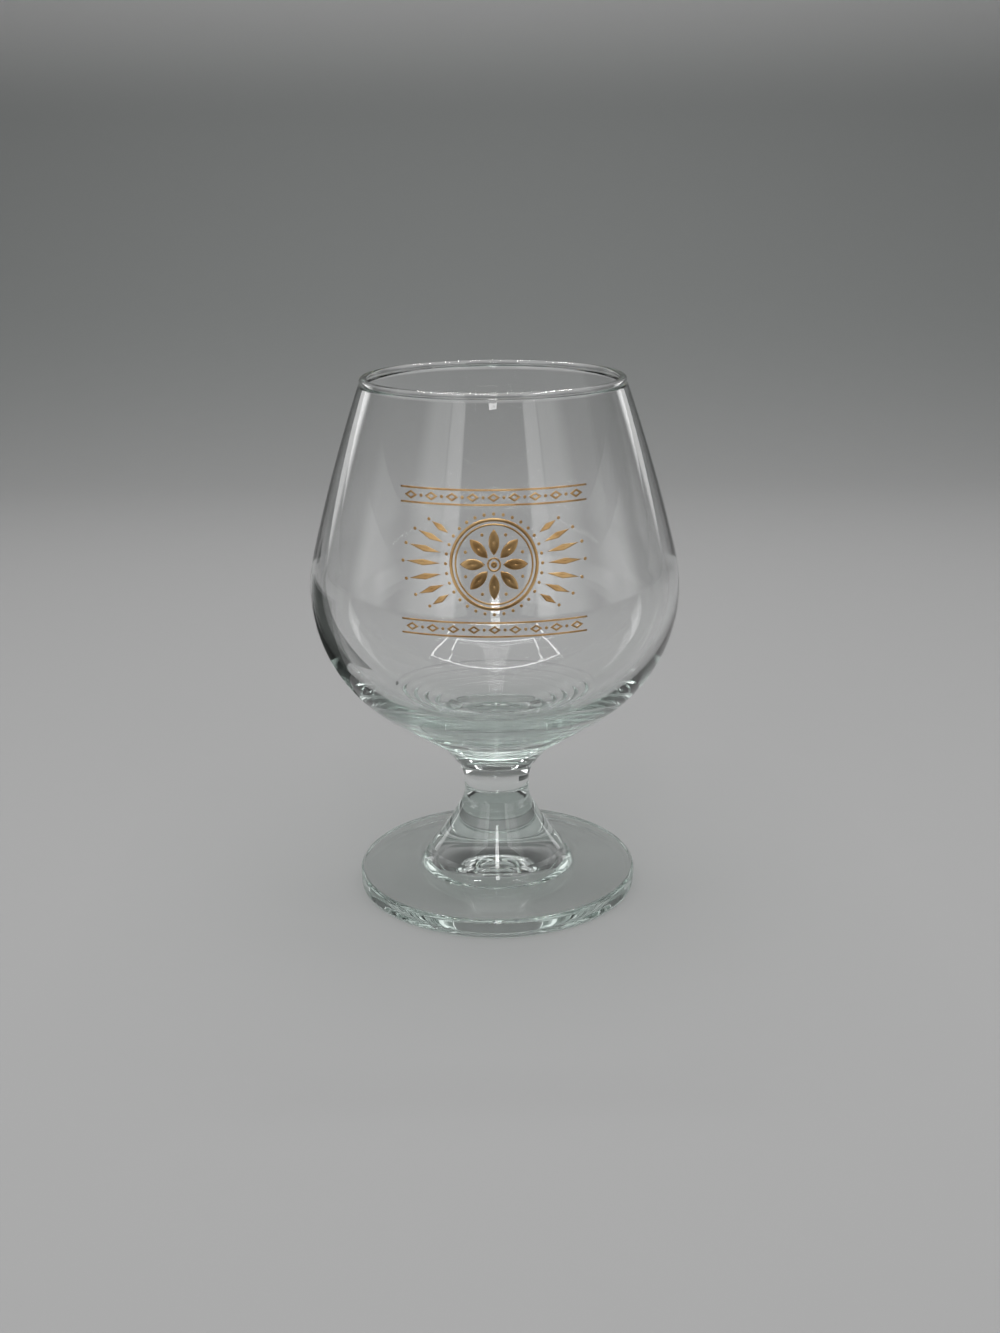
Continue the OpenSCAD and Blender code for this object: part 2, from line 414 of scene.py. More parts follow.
@dataclass(frozen=True)
class FiredGold:
    """Bright gold lustre, fired on: a thin brown-gold metal with a fine grain and pale and dark clouds."""

    pale: Colour = (0.66, 0.43, 0.20, 1.0)
    deep: Colour = (0.46, 0.27, 0.11, 1.0)
    cloud_scale: float = 240.0
    cloud_from: float = 0.35
    cloud_to: float = 0.65
    smoothest: float = 0.24
    grain_rough: float = 0.2
    grain_scale: float = 5200.0
    grain: float = 0.000012

    def material(self) -> bpy.types.Material:
        """Builds the shader: a metal that drifts from pale to deep, with a fine grain in gloss and bump.

        Returns:
            The material.
        """
        tree = ShaderTree("fired_gold")
        clouds = tree.noise(self.cloud_scale, 3.0).smooth(self.cloud_from, self.cloud_to)
        grain = tree.noise(self.grain_scale, 2.0)
        metal = tree.node("ShaderNodeBsdfPrincipled", None, {
            "Base Color": tree.mix(clouds, self.pale, self.deep),
            "Metallic": 1.0,
            "Roughness": grain * self.grain_rough + self.smoothest,
            "Normal": tree.bump(grain, self.grain),
        })
        return tree.finish(metal.outputs[0])


@dataclass(frozen=True)
class GreySweep:
    """Matt grey card under and behind the glass, which grows darker up its curve in painted shade and, out of
    view, paler in painted light.
    """

    near: Colour = (0.40, 0.40, 0.40, 1.0)
    # painted shade: the darker grey of the curve and the back
    far: Colour = (0.292, 0.302, 0.298, 1.0)
    # painted light: the paler grey out of view, seen only in the glass
    high: Colour = (0.62, 0.62, 0.62, 1.0)
    painted_shade_from: float = 0.25
    painted_shade_to: float = 0.75
    painted_light_from: float = 0.95
    painted_light_to: float = 1.15
    mottle_scale: float = 90.0
    mottle: float = 0.06

    def material(self) -> bpy.types.Material:
        """Builds the shader: the grey goes from near to far, a painted shade, and on to high, a painted
        light, by the way back and up.

        Returns:
            The material.
        """
        tree = ShaderTree("grey_sweep")
        place = tree.node("ShaderNodeSeparateXYZ", None, {0: tree.place()})
        along = Value(tree, place.outputs["Y"]) + Value(tree, place.outputs["Z"])
        mottle = (tree.noise(self.mottle_scale, 3.0) - 0.5) * self.mottle
        # painted shade, darker by the way back and up
        share = along.smooth(self.painted_shade_from, self.painted_shade_to) + mottle
        low = tree.mix(share, self.near, self.far)
        # painted light, paler out of view
        grey = tree.mix(along.smooth(self.painted_light_from, self.painted_light_to), low, self.high)
        card = tree.node("ShaderNodeBsdfDiffuse", None, {"Color": grey})
        return tree.finish(card.outputs[0])


@dataclass(frozen=True)
class TentCloth:
    """White cloth lit from behind, whose glow changes with the bearing from the camera's side."""

    stops: Stops
    turn: float = -1.0
    brightest: float = 2.0

    def material(self) -> bpy.types.Material:
        """Builds the shader: a glow set by stops at bearings, in degrees, the same on both sides.

        Returns:
            The material.
        """
        tree = ShaderTree("tent_cloth")
        place = tree.node("ShaderNodeSeparateXYZ", None, {0: tree.place()})
        across, back = Value(tree, place.outputs["X"]), Value(tree, place.outputs["Y"])
        bearing_now = across.maths("ARCTAN2", back * -1.0) + math.radians(self.turn)
        share = bearing_now.maths("ABSOLUTE") * (1.0 / math.pi)
        stops = [(degrees / 180.0, (glow / self.brightest,) * 3 + (1.0,)) for degrees, glow in self.stops]
        ramp = tree.node("ShaderNodeValToRGB", {"stops": stops}, {0: share})
        glow = {"Color": ramp.outputs[0], "Strength": self.brightest}
        cloth = tree.node("ShaderNodeEmission", None, glow)
        return tree.finish(cloth.outputs[0])


@dataclass(frozen=True)
class PaintedShadeCard:
    """Matt black card with a faint mottle, put in as painted shade for the glass to mirror and bend."""

    colour: Colour = (0.05, 0.056, 0.052, 1.0)
    lighter_mottle: Colour = (0.07, 0.074, 0.072, 1.0)
    mottle_scale: float = 60.0

    def material(self) -> bpy.types.Material:
        """Builds the shader: a diffuse black, the painted shade, that noise lightens here and there.

        Returns:
            The material.
        """
        tree = ShaderTree("painted_shade_card")
        shade = tree.mix(tree.noise(self.mottle_scale, 3.0), self.colour, self.lighter_mottle)
        card = tree.node("ShaderNodeBsdfDiffuse", None, {"Color": shade})
        return tree.finish(card.outputs[0])


# The glass


@dataclass
class BlownGlass:
    """The glass itself, one section turned about the upright axis. Sizes are millimetres."""

    height: float = 105.0
    foot_r: float = 28.6
    bowl_r: float = 36.5
    rim_r: float = 24.9
    bead_t: float = 1.4
    wall_t: float = 1.1
    belly_t: float = 2.2
    wall_arc: float = 330.0
    belly_arc: float = 30.0
    belly_share: float = 0.74
    belly_gain: float = 3.0
    floor_turn: float = 57.0
    cone_angle: float = 55.5
    chill_rings: int = 4
    chill_low: float = 0.17
    chill_high: float = 0.07
    chill_depth: float = 0.3
    neck_r: float = 6.65
    waist_z: float = 21.6
    cove_arc: float = 10.8
    collar_rise: float = 5.4
    collar_step: float = 0.4
    collar_edge: float = 0.32
    collar_bevel: float = 0.12
    cone_round: float = 1.0
    crease_drop: float = 1.2
    shoulder_arc: float = 6.0
    bell_angle: float = 30.0
    lip_r: float = 13.6
    lip_z: float = 8.0
    bell_sag: float = 0.3
    lip_round: float = 0.5
    band_r: float = 14.6
    band_fillet: float = 4.0
    foot_t: float = 4.0
    foot_slope: float = 4.0
    edge_round: float = 0.9
    base_round: float = 1.0
    rest_w: float = 0.8
    hollow_h: float = 5.5
    dome_r: float = 11.5
    dome_z: float = 1.5
    columns: int = 168
    side_steps: int = 25
    cone_steps: int = 150
    fine_pitch: float = 0.3
    bead_pitch: float = 0.12
    collar_root: float = 0.06
    collar_nose: float = 0.1

    def __post_init__(self) -> None:
        """Works out what follows from the sizes: centres of the arcs and the points where they meet."""
        self.bead_c = np.array([self.rim_r, self.height - self.bead_t / 2])
        self.waist = np.array([self.neck_r, self.waist_z])
        self.cove_c = self.waist + [self.cove_arc, 0.0]
        lean = math.radians(self.cone_angle)
        self.cone_foot = self.cove_c + self.cove_arc * np.array([-math.cos(lean), math.sin(lean)])
        belly_x = self.bowl_r - self.belly_arc
        top_r = belly_x + self.belly_arc * math.cos(lean)
        self.cone_top = np.array([top_r, self.cone_foot[1] + (top_r - self.cone_foot[0]) / math.tan(lean)])
        self.belly_c = np.array([belly_x, self.cone_top[1] + self.belly_arc * math.sin(lean)])
        self.upper_arc = self.belly_share * (self.bead_c[1] - self.belly_c[1])
        self.upper_c = np.array([self.bowl_r - self.upper_arc, self.belly_c[1]])
        self.wall_c = self.circles_meet(
            self.upper_c, self.wall_arc - self.upper_arc, self.bead_c, self.wall_arc - self.wall_t / 2)
        self.wall_low = bearing(self.upper_c - self.wall_c)
        self.wall_high = bearing(self.bead_c - self.wall_c)
        self.pinch = math.degrees(math.asin(self.wall_t / self.bead_t))
        over = self.bead_t / 2 * math.cos(math.radians(self.pinch)) / self.wall_arc
        self.wall_stop = self.wall_high - math.degrees(over)
        self.inner_upper = self.upper_arc - self.belly_t
        self.inner_wall_c = self.circles_meet(
            self.upper_c, self.wall_arc - self.inner_upper, self.bead_c, self.wall_arc + self.wall_t / 2)
        self.inner_low = bearing(self.upper_c - self.inner_wall_c)
        self.inner_high = bearing(self.bead_c - self.inner_wall_c)
        self.inner_stop = self.inner_high - math.degrees(over)
        self.inner_arc = self.belly_arc - self.belly_t - self.belly_gain
        self.inner_c = np.array([self.bowl_r - self.belly_t - self.inner_arc, self.belly_c[1]])
        turn = math.radians(self.floor_turn)
        self.floor_c = np.array([0.0, self.inner_c[1] + self.inner_c[0] * math.tan(turn)])
        self.floor_arc = self.inner_arc + self.inner_c[0] / math.cos(turn)
        self.crease = np.array([self.neck_r, self.waist_z - self.crease_drop])
        self.lip = np.array([self.lip_r, self.lip_z])
        fall = (self.foot_r - self.edge_round - self.band_r) * math.tan(math.radians(self.foot_slope))
        self.band_foot = np.array([self.band_r, self.foot_t + fall])
        self.rest_in = self.foot_r - self.base_round - self.rest_w

    @staticmethod
    def circles_meet(c0: np.ndarray, r0: float, c1: np.ndarray, r1: float) -> np.ndarray:
        """Where two circles meet, on the side nearer the axis.

        Args:
            c0: The first circle's centre.
            r0: Its radius.
            c1: The second circle's centre.
            r1: Its radius.

        Returns:
            The meeting point.
        """
        d = float(np.linalg.norm(c1 - c0))
        u = (c1 - c0) / d
        along = (d * d + r0 * r0 - r1 * r1) / (2 * d)
        across = math.sqrt(r0 * r0 - along * along) * np.array([-u[1], u[0]])
        p, q = c0 + along * u + across, c0 + along * u - across
        return p if p[0] < q[0] else q

    def foot_side(self) -> np.ndarray:
        """The foot, from the ring it stands on, round its edge and in to the band under the bell.

        Returns:
            Its points.
        """
        rest = np.array([self.rest_in, 0.0])
        corner = np.array([self.foot_r, 0.0])
        fall = self.edge_round * math.tan(math.radians(self.foot_slope))
        top_edge = np.array([self.foot_r, self.foot_t - fall])
        base = rounded(rest, corner, top_edge, self.base_round)
        edge = rounded(corner, top_edge, self.band_foot, self.edge_round)
        fillet = rounded(top_edge, self.band_foot, self.lip, self.band_fillet)
        return joined(
            line(rest, base[0]), base, line(base[-1], edge[0]), edge, line(edge[-1], fillet[0]), fillet)

    def bell_side(self) -> np.ndarray:
        """The bell: its lip, a side that sags in as a parabola, and the small cove under the crease.

        Returns:
            Its points.
        """
        turn = math.radians(self.bell_angle)
        end = self.crease + self.shoulder_arc * np.array([1.0 - math.cos(turn), -math.sin(turn)])
        run = end - self.lip
        left = np.array([-run[1], run[0]]) / np.linalg.norm(run)
        t = np.linspace(0.0, 1.0, self.side_steps)[:, None]
        side = self.lip + t * run + 4.0 * self.bell_sag * t * (1.0 - t) * left
        lip = rounded(self.band_foot, self.lip, side[self.side_steps // 4], self.lip_round)
        middle = self.crease + [self.shoulder_arc, 0.0]
        cove = arc(middle, self.shoulder_arc, 180.0 + self.bell_angle, 180.0, self.fine_pitch)
        return joined(lip, side[self.side_steps // 8:-1], cove)

    def neck_side(self) -> np.ndarray:
        """The neck's cove, the collar that stands out of it and the flare from there to the lower cone.

        Returns:
            Its points.
        """
        turn = math.degrees(math.asin(self.collar_rise / self.cove_arc))
        under = self.cove_c + self.cove_arc * ray(180.0 - turn)
        edge = under + [self.collar_step, self.collar_edge - 2 * self.collar_bevel]
        over = edge + self.collar_bevel * np.array([1.0, 2.0])
        cove = arc(self.cove_c, self.cove_arc, 180.0, 180.0 - turn, self.fine_pitch)
        root = rounded(cove[-2], under, edge, self.collar_root)
        nose = rounded(under, edge, over, self.collar_nose)
        bend = rounded(over, self.cone_foot, self.cone_top, self.cone_round)
        return joined(cove[:-1], root, nose, line(over, bend[0], self.fine_pitch), bend)

    def cone_side(self) -> np.ndarray:
        """The lower cone, with chill rings pressed in as the absolute value of a sine: sharp crests.

        Returns:
            Its points.
        """
        up, out = ray(90.0 - self.cone_angle), ray(-self.cone_angle)
        run = float(np.linalg.norm(self.cone_top - self.cone_foot))
        pitch = (1.0 - self.chill_low - self.chill_high) * run / self.chill_rings
        s = np.linspace(self.cone_round, run, self.cone_steps)
        phase = np.clip((s - self.chill_low * run) / pitch, 0.0, self.chill_rings)
        dent = self.chill_depth * np.abs(np.sin(np.pi * phase))
        return self.cone_foot + s[:, None] * up - dent[:, None] * out

    def bowl_side(self) -> np.ndarray:
        """The belly's two arcs and the bowed wall, up to the bead.

        Returns:
            Its points.
        """
        return joined(
            arc(self.belly_c, self.belly_arc, -self.cone_angle, 0.0),
            arc(self.upper_c, self.upper_arc, 0.0, self.wall_low),
            arc(self.wall_c, self.wall_arc, self.wall_low, self.wall_stop),
        )

    def bead_side(self) -> np.ndarray:
        """The bead over the rim, from the outside of the wall to its inside.

        Returns:
            Its points.
        """
        start = self.wall_high - 90.0 + self.pinch
        end = self.inner_high + 270.0 - self.pinch
        return arc(self.bead_c, self.bead_t / 2, start, end, self.bead_pitch)

    def inner_side(self) -> np.ndarray:
        """The inside, from the bead down the wall and belly to the middle of the floor.

        Returns:
            Its points.
        """
        return joined(
            arc(self.inner_wall_c, self.wall_arc, self.inner_stop, self.inner_low),
            arc(self.upper_c, self.inner_upper, self.inner_low, 0.0),
            arc(self.inner_c, self.inner_arc, 0.0, -self.floor_turn),
            arc(self.floor_c, self.floor_arc, -self.floor_turn, -90.0),
        )

    def hollow_side(self) -> np.ndarray:
        """The underside: a dome under the bell, and a flat cone from its edge out to the resting ring.

        Returns:
            Its points.
        """
        rise = self.hollow_h - self.dome_z
        r = (self.dome_r ** 2 + rise ** 2) / (2 * rise)
        reach = math.degrees(math.asin(self.dome_r / r))
        dome = arc(np.array([0.0, self.hollow_h - r]), r, 90.0, 90.0 - reach)
        return joined(dome, line(dome[-1], np.array([self.rest_in, 0.0])))

    def section(self) -> np.ndarray:
        """The whole section: from the resting ring up the outside, down the inside and under the foot.

        Returns:
            Its points, the first of which follows the last.
        """
        outside = joined(
            self.foot_side(), self.bell_side(), self.neck_side(), self.cone_side(), self.bowl_side(),
            self.bead_side(), self.inner_side())
        under = self.hollow_side()
        outside[-1, 0] = under[0, 0] = 0.0
        return np.concatenate([outside, under[:-1]])

    def mesh(self) -> Any:
        """Turns the section: x is the radius times an angle's cosine, y times its sine, and z is the height.

        Returns:
            The glass as one closed mesh, with one point where each end of the section meets the axis.
        """
        section = self.section()
        floor = int(np.argmax(section[:-1, 0] < ON_AXIS))
        section = np.roll(section, -(floor + 1), axis=0)
        low, rings, top = section[0], section[1:-1], section[-1]
        a = np.linspace(0.0, 2.0 * np.pi, self.columns, endpoint=False)
        r, z = rings[:, :1], np.repeat(rings[:, 1:], self.columns, axis=1)
        grid = np.stack([r * np.cos(a), r * np.sin(a), z], axis=-1).reshape(-1, 3)
        points = np.concatenate([grid, [[0.0, 0.0, low[1]], [0.0, 0.0, top[1]]]]) * MM
        quads = ring_quads(len(rings), self.columns)
        j = np.arange(self.columns)
        k, last, n = (j + 1) % self.columns, (len(rings) - 1) * self.columns, len(grid)
        fans = np.concatenate([
            np.stack([k, j, np.full_like(j, n)], axis=-1),
            np.stack([last + j, last + k, np.full_like(j, n + 1)], axis=-1),
        ])
        return new_mesh_object("clear_glass", points, quads, fans)

    def build(self) -> Any:
        """Makes the glass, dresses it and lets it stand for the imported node.

        Returns:
            The glass.
        """
        piece = self.mesh()
        piece.data.materials.append(ClearGlass().material())
        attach(piece, "root")
        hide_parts(Node.GLASS.value)
        return piece


# The gold print


@dataclass
class Motif:
    """One flat closed shape of the print: an outer line and an inner line that share their parameter.

    A shape with no hole has its inner line shrunk to its middle. Both are arrays of points, x across, z up.
    """

    outer: np.ndarray
    inner: np.ndarray

    def shifted(self, across: float, up: float) -> "Motif":
        """The shape moved across and up, in millimetres."""
        return Motif(self.outer + [across, up], self.inner + [across, up])

    def swung(self, degrees: float, radius: float) -> "Motif":
        """The shape moved out along x to a radius and then turned about the middle, counter-clockwise.

        Args:
            degrees: How far it turns.
            radius: How far out it moves, in millimetres.

        Returns:
            The moved shape.
        """
        c, s = ray(degrees)
        spin = np.array([[c, s], [-s, c]])
        return Motif((self.outer + [radius, 0.0]) @ spin, (self.inner + [radius, 0.0]) @ spin)


def solid_motif(edge: np.ndarray) -> Motif:
    """A shape with no hole, from its outline."""
    return Motif(edge, edge * SHRUNK)


def disc(r: float, n: int = 20) -> Motif:
    """A filled circle."""
    return solid_motif(r * ray(np.linspace(0.0, 360.0, n, endpoint=False)))


def ring(r: float, width: float, n: int = 120) -> Motif:
    """A circular line of a given width, centred on radius r."""
    round_line = ray(np.linspace(0.0, 360.0, n, endpoint=False))
    return Motif((r + width / 2) * round_line, (r - width / 2) * round_line)


def leaf_line(length: float, width: float, n: int = 16) -> np.ndarray:
    """The outline of a pointed leaf along x: two arcs of one radius that meet at the tips.

    The arcs' radius is the length squared and the width squared over four times the width.

    Args:
        length: The length from tip to tip, in millimetres.
        width: The width across the middle.
        n: The number of points on each side.

    Returns:
        The outline.
    """
    r = (length ** 2 + width ** 2) / (4 * width)
    half = math.degrees(math.asin(length / 2 / r))
    low = r * ray(np.linspace(-90.0 - half, -90.0 + half, n, endpoint=False)) + [0.0, r - width / 2]
    high = r * ray(np.linspace(90.0 - half, 90.0 + half, n, endpoint=False)) + [0.0, width / 2 - r]
    return np.concatenate([low, high])


def lozenge_line(length: float, width: float, n: int = 6) -> np.ndarray:
    """The outline of a lozenge along x, each side in n steps.

    Args:
        length: The length from tip to tip, in millimetres.
        width: The width across the middle.
        n: The number of steps on each side.

    Returns:
        The outline.
    """
    tips = np.array([[-length, 0.0], [0.0, -width], [length, 0.0], [0.0, width]]) / 2
    t = (np.arange(n) / n)[None, :, None]
    return (tips[:, None] * (1 - t) + np.roll(tips, -1, axis=0)[:, None] * t).reshape(-1, 2)


def bar(length: float, width: float, n: int = 60) -> Motif:
    """A straight rule along x, as a thin closed line round its middle line.

    Args:
        length: The rule's length, in millimetres.
        width: Its width.
        n: The number of points along it.

    Returns:
        The shape.
    """
    x = np.linspace(-length / 2, length / 2, n)
    low = np.stack([x, np.full(n, -width / 2)], axis=-1)
    edge = np.concatenate([low, low[::-1] * [1.0, -1.0]])
    return Motif(edge, edge * [1.0, SHRUNK])


@dataclass
class GoldPrint:
    """The fired print: a rosette in a beaded medallion, two fans of rays, and a border above and below."""

    glass: BlownGlass
    gold_t: float = 0.08
    sunk: float = 0.02
    middle_z: float = 76.2
    width: float = 33.0
    border_gap: float = 22.6
    border_h: float = 2.5
    line_w: float = 0.55
    fine_w: float = 0.32
    dot_r: float = 0.28
    medal_r: float = 7.6
    ring_gap: float = 0.8
    petals: int = 8
    petal_w: float = 1.9
    beads: int = 32
    rays: int = 7
    ray_w: float = 1.1
    ray_fan: float = 33.0
    ray_short: float = 0.42
    lozenges: int = 9
    lozenge_h: float = 1.5
    lozenge_share: float = 0.62
    shoulder_share: float = 0.12
    shoulder_lift: float = 0.6

    def __post_init__(self) -> None:
        """Works out the bead ring's radius, the place where the rays start and the gap past their tips."""
        self.bead_ring = self.medal_r + 1.2 * self.ring_gap
        self.fan_start = 2 * self.bead_ring - self.medal_r
        self.tip_gap = self.hub_r = 2 * self.dot_r

    def medallion(self) -> list[Motif]:
        """Two rings, a rosette of petals with dots between them about a ringed hub, and a ring of beads.

        Returns:
            The flat shapes.
        """
        petal_in, petal_out = 2 * self.ring_gap, self.medal_r - 2 * self.ring_gap
        petal = solid_motif(leaf_line(petal_out - petal_in, self.petal_w))
        shapes = [
            ring(self.medal_r, self.line_w),
            ring(self.medal_r - self.ring_gap, self.fine_w),
            ring((petal_in + self.hub_r) / 2, self.fine_w, 40),
            disc(self.hub_r),
        ]
        for turn in np.arange(self.petals) * 360.0 / self.petals + 90.0:
            shapes.append(petal.swung(turn, (petal_in + petal_out) / 2))
            shapes.append(disc(self.dot_r).swung(turn + 180.0 / self.petals, petal_out - self.tip_gap))
        turns = np.arange(self.beads) * 360.0 / self.beads
        return shapes + [disc(self.dot_r).swung(turn, self.bead_ring) for turn in turns]

    def fan(self, side: int) -> list[Motif]:
        """Rays that open to one side, shorter towards the outer ones, with a dot past each tip.

        Args:
            side: 1 for the right, or -1 for the left.

        Returns:
            The flat shapes.
        """
        longest = self.width / 2 - self.fan_start - self.tip_gap - self.dot_r
        shapes = []
        for k in np.linspace(-1.0, 1.0, self.rays):
            tip = longest * (1.0 - self.ray_short * k * k)
            turn = k * self.ray_fan + (0.0 if side > 0 else 180.0)
            shapes.append(solid_motif(lozenge_line(tip, self.ray_w)).swung(turn, self.fan_start + tip / 2))
            shapes.append(disc(self.dot_r).swung(turn, self.fan_start + tip + self.tip_gap))
        return shapes

    def border(self, side: int) -> list[Motif]:
        """A row of outlined lozenges and dots between two fine rules.

        Args:
            side: 1 for the upper border, or -1 for the lower.

        Returns:
            The flat shapes.
        """
        step, z = self.width / self.lozenges, side * self.border_gap / 2
        length = self.lozenge_share * step
        inner = length - 2 * self.fine_w * math.hypot(length, self.lozenge_h) / self.lozenge_h
        hole = lozenge_line(inner, inner * self.lozenge_h / length)
        lozenge = Motif(lozenge_line(length, self.lozenge_h), hole)
        places = (np.arange(self.lozenges) + 0.5) * step - self.width / 2
        rules = [bar(self.width, self.fine_w).shifted(0.0, z + s * self.border_h / 2) for s in (-1, 1)]
        dots = [disc(self.dot_r).shifted(x + step / 2, z) for x in places[:-1]]
        return rules + [lozenge.shifted(x, z) for x in places] + dots

    def on_bowl(self, flat: np.ndarray, lift: np.ndarray) -> np.ndarray:
        """Wraps flat points on to the front of the bowl.

        The height picks the bowl's radius, y is minus the root of the radius squared less x squared, and the
        point is then lifted along the surface's normal, which leans by the slope of the radius.

        Args:
            flat: Points with x across and z up from the print's middle, in millimetres.
            lift: How far each point stands off the glass, in millimetres.

        Returns:
            The points in space, in millimetres.
        """
        side = self.glass.bowl_side()
        x, z = flat[..., 0], flat[..., 1] + self.middle_z
        r = np.interp(z, side[:, 1], side[:, 0])
        slope = np.interp(z, side[:, 1], np.gradient(side[:, 0], side[:, 1]))
        y = -np.sqrt(r * r - x * x)
        normal = np.stack([x / r, y / r, -slope], axis=-1)
        normal /= np.linalg.norm(normal, axis=-1, keepdims=True)
        return np.stack([x, y, z], axis=-1) + normal * lift[..., None]

    def solid(self, shapes: list[Motif], name: str) -> Any:
        """Makes closed films of gold from flat shapes.

        Each film is a grid: round its outline one way, and the other way from the foot of the outer edge over
        a rounded shoulder and the top to the foot of the inner edge, and back underneath to where it began.

        Args:
            shapes: The flat shapes.
            name: The piece's name.

        Returns:
            The mesh object.
        """
        near, far = self.shoulder_share, 1.0 - self.shoulder_share
        share = np.array([0.0, 0.0, near, 0.5, far, 1.0, 1.0])
        foot, top, shoulder = -self.sunk, self.gold_t, self.shoulder_lift * self.gold_t
        lift = np.array([foot, shoulder, top, top, top, shoulder, foot])
        points, faces, count = [], [], 0
        for shape in shapes:
            inward = share[:, None, None]
            flat = shape.outer[None] * (1 - inward) + shape.inner[None] * inward
            film = self.on_bowl(flat, np.repeat(lift[:, None], flat.shape[1], axis=1))
            points.append(film.reshape(-1, 3))
            faces.append(ring_quads(len(share), flat.shape[1], wrap_rows=True)[:, ::-1] + count)
            count += film.shape[0] * film.shape[1]
        return new_mesh_object(name, np.concatenate(points) * MM, np.concatenate(faces))

    def build(self) -> list[Any]:
        """Makes the print's parts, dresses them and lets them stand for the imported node.

        Returns:
            The five parts.
        """
        gold = FiredGold().material()
        made = [
            self.solid(self.medallion(), "gold_medallion"),
            self.solid(self.fan(-1), "gold_rays_left"),
            self.solid(self.fan(1), "gold_rays_right"),
            self.solid(self.border(1), "gold_border_upper"),
            self.solid(self.border(-1), "gold_border_lower"),
        ]
        for piece in made:
            piece.data.materials.append(gold)
            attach(piece, "root")
            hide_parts(Node.PRINT.value)
        return made


# The stand-in studio


@dataclass
class Studio:
    """A grey sweep, lamps, two pairs of glowing walls, a black card of painted shade and the camera. Lengths
    are metres.
    """

    sweep_half: float = 1.1
    sweep_front: float = -0.3
    sweep_bend: float = 0.42
    sweep_radius: float = 0.45
    sweep_top: float = 1.3
    flat_pitch: float = 0.1
    bend_pitch: float = 0.02
    camera_place: tuple[float, float, float] = (0.00089, -0.29896, 0.14213)
    camera_pitch: float = 17.744
    camera_roll: float = -0.489
    focal_px: float = 1549.5
    photo_long: float = 1333.0
    sensor: float = 36.0
    tent_reach: float = 0.95
    front_height: float = 0.9
    front_stops: Stops = (
        (24.0, 0.0), (25.5, 1.5), (35.5, 1.4), (36.5, 0.4), (37.5, 1.0), (50.0, 0.9), (62.0, 0.0))
    side_height: float = 0.25
    side_stops: Stops = (
        (66.0, 0.0), (76.0, 0.8), (90.0, 0.8), (100.0, 0.0), (126.0, 0.0), (130.0, 1.8), (147.0, 1.8),
        (150.0, 0.0))
    wall_step: float = 2.0
    ceiling_y: float = 0.1
    ceiling_z: float = 1.1
    ceiling_size: tuple[float, float] = (0.9, 0.9)
    ceiling_glow: float = 0.1
    frame_z: float = 0.6
    frame_y: tuple[float, float] = (-0.2, 0.3)
    frame_reach: float = 0.25
    strip_wide: float = 0.012
    front_lamp: tuple[float, float, float] = (0.0, -0.5, 0.55)
    front_size: tuple[float, float] = (0.07, 0.3)
    front_glow: float = 9.0
    strip_glow: float = 56.0
    card_reach: tuple[float, float] = (0.085, 0.35)
    card_bearings: tuple[float, float] = (-150.0, -112.0)
    card_lift: float = 0.0005
    card_steps: int = 24
    clip: tuple[float, float] = (0.01, 20.0)
    room: float = 0.02
    room_seen: float = 0.3
    bounces: tuple[int, int, int] = (32, 32, 24)

    def sweep(self) -> Any:
        """The card: flat to the bend, a quarter circle up, and then upright, carried across the width.

        Returns:
            The card.
        """
        middle = np.array([self.sweep_bend, self.sweep_radius])
        front = np.array([self.sweep_front, 0.0])
        top = np.array([self.sweep_bend + self.sweep_radius, self.sweep_top])
        bend = arc(middle, self.sweep_radius, -90.0, 0.0, self.bend_pitch)
        path = joined(line(front, bend[0], self.flat_pitch), bend, line(bend[-1], top, self.flat_pitch))
        x = np.array([-self.sweep_half, self.sweep_half])
        grid = np.stack(np.broadcast_arrays(x[None, :], path[:, :1], path[:, 1:]), axis=-1).reshape(-1, 3)
        i = 2 * np.arange(len(path) - 1)
        card = new_mesh_object("sweep", grid, np.stack([i, i + 1, i + 3, i + 2], axis=-1))
        card.data.materials.append(GreySweep().material())
        return card

    def softbox(
        self, name: str, place: tuple, aim: tuple, size: tuple[float, float], radiance: float
    ) -> None:
        """Adds a rectangular lamp.

        Args:
            name: The lamp's name.
            place: Its middle.
            aim: The point that it faces.
            size: Its width and height.
            radiance: How bright its face is, where the floor's colour is seen as written at about one.
        """
        lamp = bpy.data.lights.new(name, "AREA")
        lamp.shape = "RECTANGLE"
        lamp.size, lamp.size_y = size
        lamp.energy = radiance * math.pi * size[0] * size[1]
        stand = bpy.data.objects.new(name, lamp)
        bpy.context.scene.collection.objects.link(stand)
        away = np.array(place) - np.array(aim)
        stand.matrix_world = Matrix.Translation(place) @ self.facing(away).to_4x4()

    def tent(self, name: str, height: float, stops: Stops) -> Any:
        """Two walls of the tent, unseen by the camera: parts of a drum about the glass, one on each side.

        x is the reach times the bearing's sine, y is minus the reach times its cosine, and z runs from the
        floor to the height.

        Args:
            name: The walls' name.
            height: Their height.
            stops: The bearings and glows of their cloth, from the first bearing to the last.

        Returns:
            The walls, as one piece of the stage.
        """
        start, end = stops[0][0] - self.wall_step, stops[-1][0] + 1.5 * self.wall_step
        a = np.radians(np.arange(start, end, self.wall_step))
        x, y = self.tent_reach * np.sin(a), -self.tent_reach * np.cos(a)
        ends = [(side, z) for side in (-1.0, 1.0) for z in (0.0, height)]
        walls = [np.stack([side * x, y, np.full_like(a, z)], axis=-1) for side, z in ends]
        i = np.arange(len(a) - 1)
        quads = np.stack([i, i + 1, i + 1 + len(a), i + len(a)], axis=-1)
        both = np.concatenate([quads[:, ::-1], quads + 2 * len(a)])
        cloth = new_mesh_object(name, np.concatenate(walls), both)
        cloth.data.materials.append(TentCloth(stops).material())
        cloth.visible_camera = False
        return cloth

